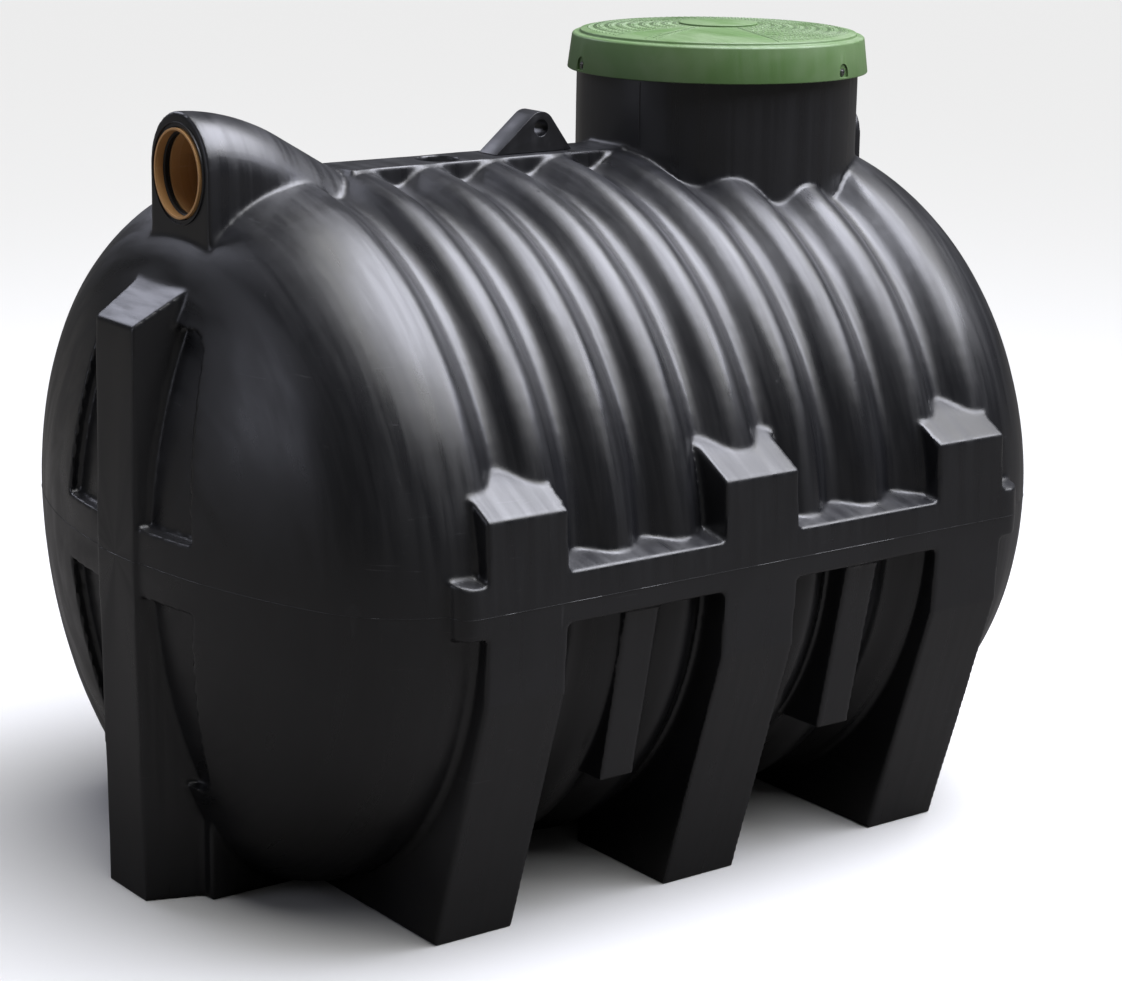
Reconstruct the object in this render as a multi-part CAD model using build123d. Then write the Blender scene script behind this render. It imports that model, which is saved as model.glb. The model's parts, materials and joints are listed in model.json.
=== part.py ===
from build123d import *
from collections import namedtuple
import math
import os

# Septic tank: a ribbed horizontal barrel of moulded plastic with domed ends.
# It stands on six side legs and two end legs, and has a manhole neck with a lid.
# X runs from the inlet end to the outlet end and Z points up. The origin lies on
# the floor under the middle of the barrel. Heights called level are measured from
# the parting line, where the upper and the lower half of the moulding meet.

# Barrel
CREST_RADIUS = 737.0
RIB_DEPTH = 38.0
RIB_PITCH = 164.0
RIB_COUNT = 7
CREST_BEND = 60.0
RIB_FLANK_ANGLE = 38.0
WALL = 10.0
BELLY_FLAT = 41.0
FLOOR_GAP = 22.0

# Domed ends
DOME_DEPTH = 374.0
KNUCKLE_RADIUS = 275.0

# Recesses beside the end posts
RECESS_DEPTH = 25.0
RECESS_START_LEVEL = 70.0
RECESS_HEIGHT = 400.0
RECESS_FOOT_HALF = 250.0
RECESS_TOP_HALF = 195.0
RECESS_CORNER = 60.0

# Side posts and side legs
SIDE_PROUD = 38.0
SIDE_HALF = 95.0
SIDE_POST_LEVEL = 181.0
SIDE_POST_SLOPE = 0.59
SIDE_FLARE = 0.03
SIDE_DRAFT = 0.045
LEG_KNEE_DROP = 180.0
LEG_FOOT_SETBACK = 175.0
LEG_FOOT_DEPTH = 300.0

# End posts and end legs
END_PROUD = 6.0
END_HALF = 77.0
END_POST_LEVEL = 472.0
END_POST_SLOPE = 0.6
END_POST_FLARE = 0.21
END_LEG_FLARE = 0.37
END_DRAFT = 0.018

# Keels under the barrel
KEEL_SETBACK = 124.0
KEEL_HALF = 151.0

# Bands and pilasters on the long sides
BAND_TOP_LEVEL = 60.0
BAND_BOTTOM_DROP = 45.0
BAND_SLOPE = 0.2
BAND_STUB_LENGTH = 60.0
BAND_STUB_CORNER = 40.0
PILASTER_HALF = 43.5
PILASTER_DROP = 420.0
PILASTER_SETBACK = 18.0
PILASTER_TAPER = 0.2

# Spine and lifting lug
SPINE_HALF = 64.0
SPINE_RISE = 3.0
SPINE_INSET = 140.0
SPINE_HOLE_X = -263.0
SPINE_HOLE_RADIUS = 45.0
SPINE_HOLE_DEPTH = 30.0
LUG_X = -18.0
LUG_BACK = 116.0
LUG_FRONT = 81.0
LUG_HALF = 32.0
LUG_HOLE_RISE = 50.0
LUG_HOLE_RADIUS = 18.0
LUG_EYE_RADIUS = 35.0

# Manhole neck and lid
NECK_CLEARANCE = 12.0
NECK_RADIUS = 313.0
LID_RISE = 229.0
LID_PLATE = 6.0
LID_WALL = 5.0
LID_SKIRT = 78.0
LID_FLARE = 9.5
LID_RUNNING_GAP = 5.5
LID_RIM = 22.0
LID_SHOULDER_RADIUS = 270.0
LID_SHOULDER_RISE = 11.0
LID_CROWN_RISE = 20.0
SEAT_GAP = 0.3
HUB_RADIUS = 87.0
HUB_HEIGHT = 4.0

# Inlet
INLET_SETBACK = 152.0
INLET_RISE = 14.0
INLET_HOOD_HALF = 117.0
INLET_HOOD_RISE = 6.0
INLET_PIPE_RADIUS = 80.5
INLET_SOCKET_LENGTH = 110.0

# Outlet
OUTLET_SETBACK = 168.0
OUTLET_DROP = 16.0
OUTLET_HOOD_HALF = 78.0
OUTLET_HOOD_RISE = 5.0
OUTLET_PIPE_RADIUS = 55.5
OUTLET_SOCKET_LENGTH = 48.0

# Hoods and pipe sockets
HOOD_BEND_RADIUS = 313.0
HOOD_SLOPE_ANGLE = 30.0
HOOD_TAIL = 260.0
HOOD_DEPTH = 260.0
SOCKET_WALL = 9.5
SOCKET_LIP = 6.5
SOCKET_PROUD = 4.0
SOCKET_MOUTH = 14.0
SEAL_WIDTH = 14.0
SEAL_GROOVE = 5.5
SEAL_LIP_GAP = 1.0

# Sizes that follow from the ones above
VALLEY_RADIUS = CREST_RADIUS - RIB_DEPTH
PARTING_HEIGHT = CREST_RADIUS - BELLY_FLAT + FLOOR_GAP
SHOULDER_X = (RIB_COUNT + 1) / 2 * RIB_PITCH
DOME_TIP = SHOULDER_X + DOME_DEPTH
CROWN_RADIUS = (DOME_DEPTH**2 + CREST_RADIUS * (CREST_RADIUS - 2 * KNUCKLE_RADIUS)) / (
    2 * (DOME_DEPTH - KNUCKLE_RADIUS)
)
CROWN_X = DOME_TIP - CROWN_RADIUS
BELLY_LEVEL = FLOOR_GAP - PARTING_HEIGHT
OUTER_LEG_X = (RIB_COUNT / 2) * RIB_PITCH
SIDE_REACH = CREST_RADIUS + SIDE_PROUD
LEG_FOOT_REACH = SIDE_REACH - LEG_FOOT_SETBACK
LEG_INNER_REACH = LEG_FOOT_REACH - LEG_FOOT_DEPTH
END_REACH = DOME_TIP + END_PROUD
KEEL_REACH = END_REACH - KEEL_SETBACK
SPINE_START = SPINE_INSET - SHOULDER_X
SPINE_LEVEL = CREST_RADIUS + SPINE_RISE
OUTLET_FACE = DOME_TIP - OUTLET_SETBACK
NECK_X = OUTLET_FACE - OUTLET_SOCKET_LENGTH - NECK_CLEARANCE - NECK_RADIUS
NECK_BORE_RADIUS = NECK_RADIUS - WALL
LID_LEVEL = CREST_RADIUS + LID_RISE
NECK_LEVEL = LID_LEVEL - LID_PLATE - SEAT_GAP
BIG = 3 * END_REACH

# A pipe connection: its face's distance from the middle, its pipe's level and bore,
# its socket's length, and the half width and extra rise of its hood's arch
Connection = namedtuple("Connection", "face level bore length hood_half hood_rise")
INLET = Connection(
    DOME_TIP - INLET_SETBACK,
    CREST_RADIUS + INLET_RISE,
    INLET_PIPE_RADIUS,
    INLET_SOCKET_LENGTH,
    INLET_HOOD_HALF,
    INLET_HOOD_RISE,
)
OUTLET = Connection(
    OUTLET_FACE,
    CREST_RADIUS - OUTLET_DROP,
    OUTLET_PIPE_RADIUS,
    OUTLET_SOCKET_LENGTH,
    OUTLET_HOOD_HALF,
    OUTLET_HOOD_RISE,
)


def slab(x0, x1, y0, y1, z0, z1):
    """A box between two opposite corners."""
    return Pos(x0, y0, z0) * Box(x1 - x0, y1 - y0, z1 - z0, align=(Align.MIN,) * 3)


def arc(x, radius, bend, start, end):
    """An arc centred at (x, radius), between two angles in degrees."""
    points = []
    for angle in (start, (start + end) / 2, end):
        turn = math.radians(angle)
        points.append((x + bend * math.cos(turn), radius + bend * math.sin(turn)))
    return ThreePointArc(*points)


def rib_edges(shrink):
    """The ribbed outline between the shoulders: crests, flanks and valleys."""
    flank = math.radians(RIB_FLANK_ANGLE)
    rise = RIB_PITCH / 2 * math.sin(flank) - RIB_DEPTH * math.cos(flank)
    valley_bend = rise / (1 - math.cos(flank)) - CREST_BEND
    last = 2 * RIB_COUNT + 2
    edges = []
    for i in range(last + 1):
        x = -SHOULDER_X + i * RIB_PITCH / 2
        start = RIB_FLANK_ANGLE if i > 0 else 0
        end = RIB_FLANK_ANGLE if i < last else 0
        if i % 2 == 0:
            bend = arc(x, CREST_RADIUS - CREST_BEND, CREST_BEND - shrink, 90 + start, 90 - end)
        else:
            bend = arc(x, VALLEY_RADIUS + valley_bend, valley_bend + shrink, -90 - start, end - 90)
        if edges:
            edges.append(Line(edges[-1] @ 1, bend @ 0))
        edges.append(bend)
    return edges


def dome_edges(shrink):
    """One end's outline: a knuckle arc from the shoulder and a crown arc to the tip."""
    angle = math.degrees(math.atan2(CREST_RADIUS - KNUCKLE_RADIUS, SHOULDER_X - CROWN_X))
    knuckle = arc(SHOULDER_X, CREST_RADIUS - KNUCKLE_RADIUS, KNUCKLE_RADIUS - shrink, 90, angle)
    crown = arc(CROWN_X, 0, CROWN_RADIUS - shrink, angle, 0)
    return [knuckle, crown]


def half_body(shrink, side):
    """Half of the closed body, above (1) or below (-1) the parting line."""
    right = dome_edges(shrink)
    left = [mirror(edge, Plane.YZ) for edge in right]
    tip = DOME_TIP - shrink
    edges = rib_edges(shrink) + right + left + [Line((-tip, 0), (tip, 0))]
    return revolve(make_face(edges), Axis.X, 180 * side)


def recess_prism(grow, side):
    """The recess outline of both ends, carried along the tank."""
    low = RECESS_START_LEVEL - grow
    high = RECESS_START_LEVEL + RECESS_HEIGHT + grow
    foot = RECESS_FOOT_HALF + grow
    top = RECESS_TOP_HALF + grow
    outline = Polygon((-foot, low), (foot, low), (top, high), (-top, high), align=None)
    corners = outline.vertices().group_by(Axis.Y)[-1]
    outline = fillet(corners, RECESS_CORNER + grow)
    prism = extrude(Plane.YZ * outline, BIG / 2, both=True)
    return prism if side > 0 else mirror(prism, Plane.XY)


def body_half(shrink, side):
    """Half of the body's surface moved in by shrink, with belly and recesses."""
    body = half_body(shrink, side)
    body &= slab(-BIG, BIG, -BIG, BIG, BELLY_LEVEL + shrink, BIG)
    return body - (recess_prism(shrink, side) - half_body(RECESS_DEPTH + shrink, side))


def turned(shape, angle, x=0):
    """A piece drawn facing +X, turned about Z and moved along the barrel."""
    return Pos(x, 0, 0) * Rot(0, 0, angle) * shape


def tapered_block(reach, half, flare, draft, z0, z1, inner):
    """A block facing +X whose front leans in by draft and whose sides flare inward."""
    sections = []
    for z in (z0, z1):
        front = reach - draft * abs(z)
        back = half + flare * (front - inner)
        points = [(front, -half), (front, half), (inner, back), (inner, -back)]
        sections.append(Pos(0, 0, z) * make_face(Polyline(*points, close=True)))
    return loft(sections)


def side_outline(points, half_width):
    """A block facing +X, extruded sideways from points (reach, level)."""
    face = Plane.XZ * make_face(Polyline(*points, close=True))
    return extrude(face, half_width, both=True)


def post(reach, half, flare, draft, level, slope, inner):
    """A post above the parting line with a top that rises toward the barrel."""
    front = reach - draft * level
    crown = level + slope * (front - inner)
    block = tapered_block(reach, half, flare, draft, 0, crown, inner)
    roof = [(inner, 0), (front + level / slope, 0), (inner, crown)]
    return block & side_outline(roof, BIG)


def side_leg():
    """A side leg from the parting line to the floor, with its knee."""
    knee_reach = SIDE_REACH - SIDE_DRAFT * LEG_KNEE_DROP
    points = [
        (SIDE_REACH, 0),
        (knee_reach, -LEG_KNEE_DROP),
        (LEG_FOOT_REACH, -PARTING_HEIGHT),
        (LEG_INNER_REACH, -PARTING_HEIGHT),
        (LEG_INNER_REACH, 0),
    ]
    return side_outline(points, SIDE_HALF)


def keel():
    """The outlet-end keel: a long block and a cross block between the side legs."""
    top = -PARTING_HEIGHT / 2
    cross_x0 = OUTER_LEG_X - SIDE_HALF
    cross_x1 = OUTER_LEG_X + SIDE_HALF
    cross = slab(cross_x0, cross_x1, -LEG_INNER_REACH, LEG_INNER_REACH, -PARTING_HEIGHT, top)
    long_block = slab(cross_x0, KEEL_REACH, -KEEL_HALF, KEEL_HALF, -PARTING_HEIGHT, top)
    return cross + long_block


def band_profile(x0, x1):
    """A stretch of the side band facing +X, from x0 to x1 along the barrel."""
    inner = VALLEY_RADIUS / 2
    upper = SIDE_REACH - SIDE_DRAFT * BAND_TOP_LEVEL
    lower = SIDE_REACH - SIDE_DRAFT * BAND_BOTTOM_DROP
    points = [
        (SIDE_REACH, 0),
        (upper, BAND_TOP_LEVEL),
        (inner, BAND_TOP_LEVEL + BAND_SLOPE * (upper - inner)),
        (inner, -BAND_BOTTOM_DROP),
        (lower, -BAND_BOTTOM_DROP),
    ]
    block = side_outline(points, (x1 - x0) / 2)
    return Pos(0, (x0 + x1) / 2, 0) * block


def side_band():
    """The four stretches of one side's band, facing +X."""
    stub_start = OUTER_LEG_X + SIDE_HALF
    stub = band_profile(stub_start, stub_start + BAND_STUB_LENGTH)
    edge = stub.edges().filter_by(GeomType.LINE).group_by(Axis.Y)[-1]
    corner = edge.filter_by(lambda e: abs(e.tangent_at(0).Z) > 0.9).group_by(Axis.X)[-1]
    stub = fillet(corner, BAND_STUB_CORNER)
    span = band_profile(SIDE_HALF, OUTER_LEG_X - SIDE_HALF)
    half = stub + span
    return half + mirror(half, Plane.XZ)


def pilaster():
    """A short pilaster under the band, facing +X."""
    top_reach = SIDE_REACH - PILASTER_SETBACK
    fall = PILASTER_DROP - BAND_BOTTOM_DROP
    points = [
        (top_reach, -BAND_BOTTOM_DROP),
        (top_reach - PILASTER_TAPER * fall, -PILASTER_DROP),
        (VALLEY_RADIUS / 2, -PILASTER_DROP),
        (VALLEY_RADIUS / 2, -BAND_BOTTOM_DROP),
    ]
    return side_outline(points, PILASTER_HALF)


def hood_sweep(pipe, shrink):
    """A solid hood facing -X, swept from its face back and down into the body."""
    arch_level = pipe.level + pipe.hood_rise
    half = pipe.hood_half - shrink
    arch = Circle(half) + Pos(0, -HOOD_DEPTH / 2) * Rectangle(2 * half, HOOD_DEPTH)
    angle = math.radians(HOOD_SLOPE_ANGLE)
    bend_x = HOOD_BEND_RADIUS * math.sin(angle)
    bend_z = HOOD_BEND_RADIUS * (1 - math.cos(angle))
    start = Vector(-pipe.face, 0, arch_level)
    knee = start + Vector(bend_x, 0, -bend_z)
    end = knee + Vector(math.cos(angle), 0, -math.sin(angle)) * HOOD_TAIL
    path = Wire([TangentArc(start, knee, tangent=(1, 0, 0)), Line(knee, end)])
    face_plane = Plane(start, x_dir=(0, 1, 0), z_dir=(1, 0, 0))
    return sweep(face_plane * arch, path)


def hood_space(pipe):
    """The hollow inside a hood, behind its front wall."""
    return hood_sweep(pipe, WALL) & slab(WALL - pipe.face, BIG, -BIG, BIG, -BIG, BIG)


def hood(pipe, body):
    """A hollow hood facing -X that sits on the body, with a hole for its socket."""
    hole = extrude(Plane.YZ * Circle(pipe.bore + SOCKET_WALL), 3 * WALL)
    hole = Pos(-pipe.face - WALL, 0, pipe.level) * hole
    return hood_sweep(pipe, 0) - hood_space(pipe) - hole - body


def pipe_ring(pipe, points):
    """A ring facing -X, turned from points (distance behind the face, radius)."""
    corners = [(x - pipe.face, 0, pipe.level + r) for x, r in points]
    axis = Axis((0, 0, pipe.level), (1, 0, 0))
    return revolve(make_face(Polyline(*corners, close=True)), axis, 360)


def socket(pipe):
    """A pipe socket with a wide mouth and a groove for its seal."""
    outer = pipe.bore + SOCKET_WALL
    groove = pipe.bore + SEAL_GROOVE
    groove_end = SOCKET_MOUTH + SEAL_WIDTH
    points = [
        (-SOCKET_PROUD, outer),
        (-SOCKET_PROUD, outer - SOCKET_LIP),
        (SOCKET_MOUTH, outer - SOCKET_LIP),
        (SOCKET_MOUTH, groove),
        (groove_end, groove),
        (groove_end, pipe.bore),
        (pipe.length, pipe.bore),
        (pipe.length, outer),
    ]
    return pipe_ring(pipe, points)


def seal(pipe):
    """The rubber seal in a socket's groove."""
    lip = pipe.bore + SEAL_LIP_GAP
    groove = pipe.bore + SEAL_GROOVE
    end = SOCKET_MOUTH + SEAL_WIDTH
    points = [(SOCKET_MOUTH, groove), (SOCKET_MOUTH, lip), (end, lip), (end, groove)]
    return pipe_ring(pipe, points)


def round_bar(radius, x, z0, z1):
    """An upright cylinder on the barrel's centre plane."""
    return Pos(x, 0, z0) * Cylinder(radius, z1 - z0, align=(Align.CENTER, Align.CENTER, Align.MIN))


def spine(body):
    """The flat-topped beam along the crown between the inlet hood and the neck."""
    beam = slab(SPINE_START, NECK_X, -SPINE_HALF, SPINE_HALF, VALLEY_RADIUS / 2, SPINE_LEVEL)
    hole = round_bar(SPINE_HOLE_RADIUS, SPINE_HOLE_X, SPINE_LEVEL - SPINE_HOLE_DEPTH, BIG)
    return beam - hole - body - round_bar(NECK_RADIUS, NECK_X, 0, BIG)


def lifting_lug():
    """The upright lug with a rounded top and an eye across the tank."""
    eye = (LUG_X, SPINE_LEVEL + LUG_HOLE_RISE)
    base = [(LUG_X - LUG_BACK, SPINE_LEVEL), (LUG_X + LUG_FRONT, SPINE_LEVEL)]
    outline = Pos(*eye) * Circle(LUG_EYE_RADIUS)
    hull = make_hull(outline.edges() + Line(*base).edges())
    hull -= Pos(*eye) * Circle(LUG_HOLE_RADIUS)
    return extrude(Plane.XZ * hull, LUG_HALF, both=True)


def lid():
    """The manhole lid: a crowned plate with a flared skirt around the neck."""
    top_radius = NECK_RADIUS + LID_RUNNING_GAP + LID_WALL
    skirt_radius = top_radius + LID_FLARE
    foot = LID_LEVEL - LID_SKIRT
    crown = [
        (0, LID_LEVEL + LID_CROWN_RISE),
        (HUB_RADIUS, LID_LEVEL + LID_CROWN_RISE),
        (LID_SHOULDER_RADIUS, LID_LEVEL + LID_SHOULDER_RISE),
        (top_radius - LID_RIM, LID_LEVEL),
    ]
    underside = [(radius, level - LID_PLATE) for radius, level in reversed(crown)]
    skirt = [
        (top_radius, LID_LEVEL),
        (skirt_radius, foot),
        (skirt_radius - LID_WALL, foot),
        (top_radius - LID_WALL, LID_LEVEL - LID_PLATE),
    ]
    face = Plane.XZ * make_face(Polyline(*crown, *skirt, *underside, close=True))
    return Pos(NECK_X, 0, 0) * revolve(face, Axis.Z, 360)


def lid_hub():
    """The raised disc in the middle of the lid."""
    level = LID_LEVEL + LID_CROWN_RISE
    return round_bar(HUB_RADIUS, NECK_X, level, level + HUB_HEIGHT)


def neck(body):
    """The manhole neck, from the barrel's surface to the lid's seat."""
    outside = round_bar(NECK_RADIUS, NECK_X, 0, NECK_LEVEL)
    return outside - round_bar(NECK_BORE_RADIUS, NECK_X, 0, BIG) - body


def shell_nodes(upper, lower):
    """The body's shell as four half domes and two half barrels."""
    lengths = {
        "inlet_dome": (-BIG, -SHOULDER_X),
        "barrel": (-SHOULDER_X, SHOULDER_X),
        "outlet_dome": (SHOULDER_X, BIG),
    }
    shells = {"upper": upper_shell(upper), "lower": lower - body_half(WALL, -1)}
    nodes = {}
    for part, (x0, x1) in lengths.items():
        for half, shell in shells.items():
            nodes[f"{part}_{half}"] = shell & slab(x0, x1, -BIG, BIG, -BIG, BIG)
    return nodes


def side_nodes(upper, lower):
    """Posts, legs, bands and pilasters of both long sides."""
    level = VALLEY_RADIUS / 2
    side_post = post(SIDE_REACH, SIDE_HALF, SIDE_FLARE, SIDE_DRAFT, SIDE_POST_LEVEL, SIDE_POST_SLOPE, level)
    places = {"inlet": -OUTER_LEG_X, "middle": 0, "outlet": OUTER_LEG_X}
    nodes = {}
    for side, angle in {"left": 90, "right": -90}.items():
        band = turned(side_band(), angle) - upper - lower
        for place, x in places.items():
            post_solid = turned(side_post, angle, x) - upper
            band -= post_solid
            nodes[f"post_{side}_{place}"] = post_solid
            nodes[f"leg_{side}_{place}"] = turned(side_leg(), angle, x) - lower
        for place, x in {"inlet": -OUTER_LEG_X / 2, "outlet": OUTER_LEG_X / 2}.items():
            nodes[f"pilaster_{side}_{place}"] = turned(pilaster(), angle, x) - lower
        nodes[f"band_{side}"] = band
    return nodes


def end_nodes(upper, lower):
    """Posts, legs and keels of both ends."""
    inner = SHOULDER_X
    end_post = post(END_REACH, END_HALF, END_POST_FLARE, END_DRAFT, END_POST_LEVEL, END_POST_SLOPE, inner)
    floor = -PARTING_HEIGHT
    end_leg = tapered_block(END_REACH, END_HALF, END_LEG_FLARE, END_DRAFT, floor, 0, KEEL_REACH)
    nodes = {}
    for end, angle in {"inlet": 180, "outlet": 0}.items():
        nodes[f"post_{end}_end"] = turned(end_post, angle) - upper
        nodes[f"leg_{end}_end"] = turned(end_leg, angle) - lower
        nodes[f"keel_{end}"] = turned(keel(), angle) - lower
    return nodes


def pipe_nodes(body):
    """Hoods, sockets and seals of the inlet and the outlet."""
    nodes = {}
    for end, (pipe, angle) in {"inlet": (INLET, 0), "outlet": (OUTLET, 180)}.items():
        neck_bar = round_bar(NECK_RADIUS, NECK_X, 0, BIG)
        nodes[f"{end}_hood"] = turned(hood(pipe, body), angle) - neck_bar
        nodes[f"{end}_socket"] = turned(socket(pipe), angle)
        nodes[f"{end}_seal"] = turned(seal(pipe), angle)
    return nodes


def outlet_space():
    """The hollow inside the outlet hood, as far as the neck's middle."""
    return turned(hood_space(OUTLET), 180) & slab(NECK_X, BIG, -BIG, BIG, 0, BIG)


def upper_shell(upper):
    """The upper half of the shell, open under the neck and under both hoods."""
    shell = upper - body_half(WALL, 1)
    shell -= round_bar(NECK_BORE_RADIUS, NECK_X, 0, BIG)
    shell -= hood_space(INLET) & slab(-BIG, -SHOULDER_X, -BIG, BIG, 0, BIG)
    return shell - outlet_space()


def main():
    """Build every piece and write one file for each."""
    os.makedirs("parts", exist_ok=True)
    upper = body_half(0, 1)
    lower = body_half(0, -1)
    nodes = shell_nodes(upper, lower)
    nodes.update(side_nodes(upper, lower))
    nodes.update(end_nodes(upper, lower))
    nodes.update(pipe_nodes(upper))
    nodes["spine"] = spine(upper)
    nodes["lifting_lug"] = lifting_lug()
    nodes["manhole_neck"] = neck(upper) - outlet_space()
    nodes["manhole_lid"] = lid()
    nodes["lid_hub"] = lid_hub()
    for name, shape in nodes.items():
        export_step(Pos(0, 0, PARTING_HEIGHT) * shape, f"parts/{name}.step")


if __name__ == "__main__":
    main()
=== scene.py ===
import json
import logging
import math
from dataclasses import dataclass
from enum import Enum

import bmesh
import bpy
from bmesh.types import BMEdge, BMesh
from bpy.types import Material, Node, NodeSocket, NodeTree, Object
from mathutils import Matrix, Vector


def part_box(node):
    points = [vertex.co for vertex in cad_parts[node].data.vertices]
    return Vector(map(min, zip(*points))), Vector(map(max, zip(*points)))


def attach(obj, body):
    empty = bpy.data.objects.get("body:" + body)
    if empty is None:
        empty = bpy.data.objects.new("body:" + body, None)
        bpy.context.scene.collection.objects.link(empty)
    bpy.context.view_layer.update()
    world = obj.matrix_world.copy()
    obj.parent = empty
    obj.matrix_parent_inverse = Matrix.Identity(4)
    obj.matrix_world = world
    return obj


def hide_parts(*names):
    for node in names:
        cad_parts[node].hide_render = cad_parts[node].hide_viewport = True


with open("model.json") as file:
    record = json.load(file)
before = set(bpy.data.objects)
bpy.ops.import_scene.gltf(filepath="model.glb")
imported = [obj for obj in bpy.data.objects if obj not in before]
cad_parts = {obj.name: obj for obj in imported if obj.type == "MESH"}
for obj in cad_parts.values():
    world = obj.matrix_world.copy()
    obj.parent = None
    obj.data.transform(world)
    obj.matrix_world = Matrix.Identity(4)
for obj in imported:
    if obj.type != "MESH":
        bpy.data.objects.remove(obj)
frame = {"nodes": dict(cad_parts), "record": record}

LOG = logging.getLogger("septic_tank")
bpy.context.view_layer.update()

# The photograph's own size in pixels
PHOTO_WIDTH = 1122
PHOTO_HEIGHT = 981

# The height in metres of the parting line between the halves of the mould
PARTING = 0.718

# The room in metres round a pipe socket in its hole
SOCKET_ROOM = 0.002


class Slot(Enum):
    """The record's material slots."""

    TANK = "tank_plastic"
    LID = "lid_plastic"
    SOCKET = "socket_plastic"
    SEAL = "seal_rubber"


class Body(Enum):
    """The bodies that pieces ride on."""

    TANK = "tank"
    LID = "lid"


class Half(Enum):
    """The two halves of the moulding, above and below the parting line."""

    UPPER = 1
    LOWER = -1


def nodes_of(slot: Slot) -> list[str]:
    """Lists the CAD nodes of one material slot, in the record's order."""
    rows = frame["record"]["subparts"]
    return [row["node"] for row in rows if row["material_slot"] == slot.value]


def middle(node: str) -> Vector:
    """Returns the middle of a CAD node's box."""
    low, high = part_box(node)
    return (low + high) / 2


def mesh_object(bm: BMesh, name: str) -> Object:
    """Makes an object from a bmesh and frees the bmesh.

    Args:
        bm: The finished bmesh.
        name: The object's name.

    Returns:
        The object, linked to the scene.
    """
    mesh = bpy.data.meshes.new(name)
    bm.to_mesh(mesh)
    bm.free()
    piece = bpy.data.objects.new(name, mesh)
    bpy.context.scene.collection.objects.link(piece)
    return piece


def neck_foot() -> Vector:
    """Returns the point on the neck's axis at the floor."""
    spot = middle("manhole_neck")
    return Vector((spot.x, spot.y, 0))


def modify(piece: Object, name: str, kind: str, **settings: object) -> None:
    """Adds a modifier to a piece.

    Args:
        piece: The piece.
        name: The modifier's name.
        kind: Blender's name for its kind.
        **settings: Its properties.
    """
    modifier = piece.modifiers.new(name, kind)
    for label, value in settings.items():
        setattr(modifier, label, value)


def bake_modifiers(piece: Object) -> None:
    """Applies a piece's modifiers to its mesh.

    Args:
        piece: The piece.
    """
    depsgraph = bpy.context.evaluated_depsgraph_get()
    baked = bpy.data.meshes.new_from_object(piece.evaluated_get(depsgraph), depsgraph=depsgraph)
    raw = piece.data
    piece.modifiers.clear()
    piece.data = baked
    baked.name = piece.name
    bpy.data.meshes.remove(raw)


def discard(piece: Object) -> None:
    """Removes a helper object and its mesh.

    Args:
        piece: The helper.
    """
    mesh = piece.data
    bpy.data.objects.remove(piece)
    bpy.data.meshes.remove(mesh)


def carve(piece: Object, steps: tuple[tuple[Object, str], ...]) -> None:
    """Applies booleans to a piece, one after the other.

    Args:
        piece: The piece.
        steps: Pairs of a helper object and an operation.
    """
    for helper, operation in steps:
        modify(piece, helper.name, "BOOLEAN", object=helper, operation=operation, solver="MANIFOLD")
    bake_modifiers(piece)


def finish_piece(
    piece: Object,
    sharp_angle: float,
    body: Body,
    material: Material,
    replaced: tuple[str, ...] = (),
) -> None:
    """Shades a piece, gives it its material and body, and hides the CAD nodes that it replaces.

    Args:
        piece: The piece.
        sharp_angle: Edges between faces at more than this many degrees look hard.
        body: The body that it rides on.
        material: Its material.
        replaced: The CAD nodes that it replaces.
    """
    piece.data.polygons.foreach_set("use_smooth", [True] * len(piece.data.polygons))
    piece.data.set_sharp_from_angle(angle=math.radians(sharp_angle))
    piece.data.materials.clear()
    piece.data.materials.append(material)
    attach(piece, body.value)
    if replaced:
        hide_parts(*replaced)
    triangles = sum(len(face.vertices) - 2 for face in piece.data.polygons)
    LOG.info("piece %s: %d triangles", piece.name, triangles)


def turned(outline: list[tuple[float, float]], start: Vector, axis: Vector, steps: int) -> BMesh:
    """Spins an outline into a ring, or into a solid where it starts and ends on the axis.

    Args:
        outline: Points of distance along the axis and radius, in metres.
        start: The point on the axis that distances are measured from.
        axis: The unit vector of the axis.
        steps: The number of sections round the ring.

    Returns:
        The bmesh, with its normals outward.
    """
    side = axis.orthogonal().normalized()
    bm = bmesh.new()
    corners = [bm.verts.new(start + axis * along + side * radius) for along, radius in outline]
    first = 1 if outline[0][1] == 0 else 0
    edges = [bm.edges.new((corners[i - 1], corners[i])) for i in range(first, len(corners))]
    bmesh.ops.spin(
        bm, geom=corners + edges, cent=start, axis=axis, angle=math.tau, steps=steps, use_merge=True
    )
    bmesh.ops.remove_doubles(bm, verts=bm.verts, dist=1e-6)
    bmesh.ops.recalc_face_normals(bm, faces=bm.faces)
    return bm


def round_bar(bm: BMesh, radius: float, start: Vector, end: Vector, segments: int = 96) -> None:
    """Adds a closed cylinder between two points.

    Args:
        bm: The bmesh that it is added to.
        radius: Its radius.
        start: The middle of one end.
        end: The middle of the other end.
        segments: The number of its sides.
    """
    run = end - start
    place = Matrix.Translation((start + end) / 2) @ run.to_track_quat("Z", "Y").to_matrix().to_4x4()
    bmesh.ops.create_cone(
        bm, cap_ends=True, segments=segments, radius1=radius, radius2=radius, depth=run.length, matrix=place
    )


def block(bm: BMesh, low: Vector, high: Vector) -> None:
    """Adds a box between two corners.

    Args:
        bm: The bmesh that it is added to.
        low: The low corner.
        high: The high corner.
    """
    size = high - low
    place = Matrix.Translation((low + high) / 2) @ Matrix.Diagonal((*size, 1))
    bmesh.ops.create_cube(bm, size=1, matrix=place)


def sharp_edges(bm: BMesh, angle: float) -> list[BMEdge]:
    """Lists a bmesh's edges whose faces meet at more than an angle in degrees."""
    return [edge for edge in bm.edges if edge.calc_face_angle(0) > math.radians(angle)]


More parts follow.
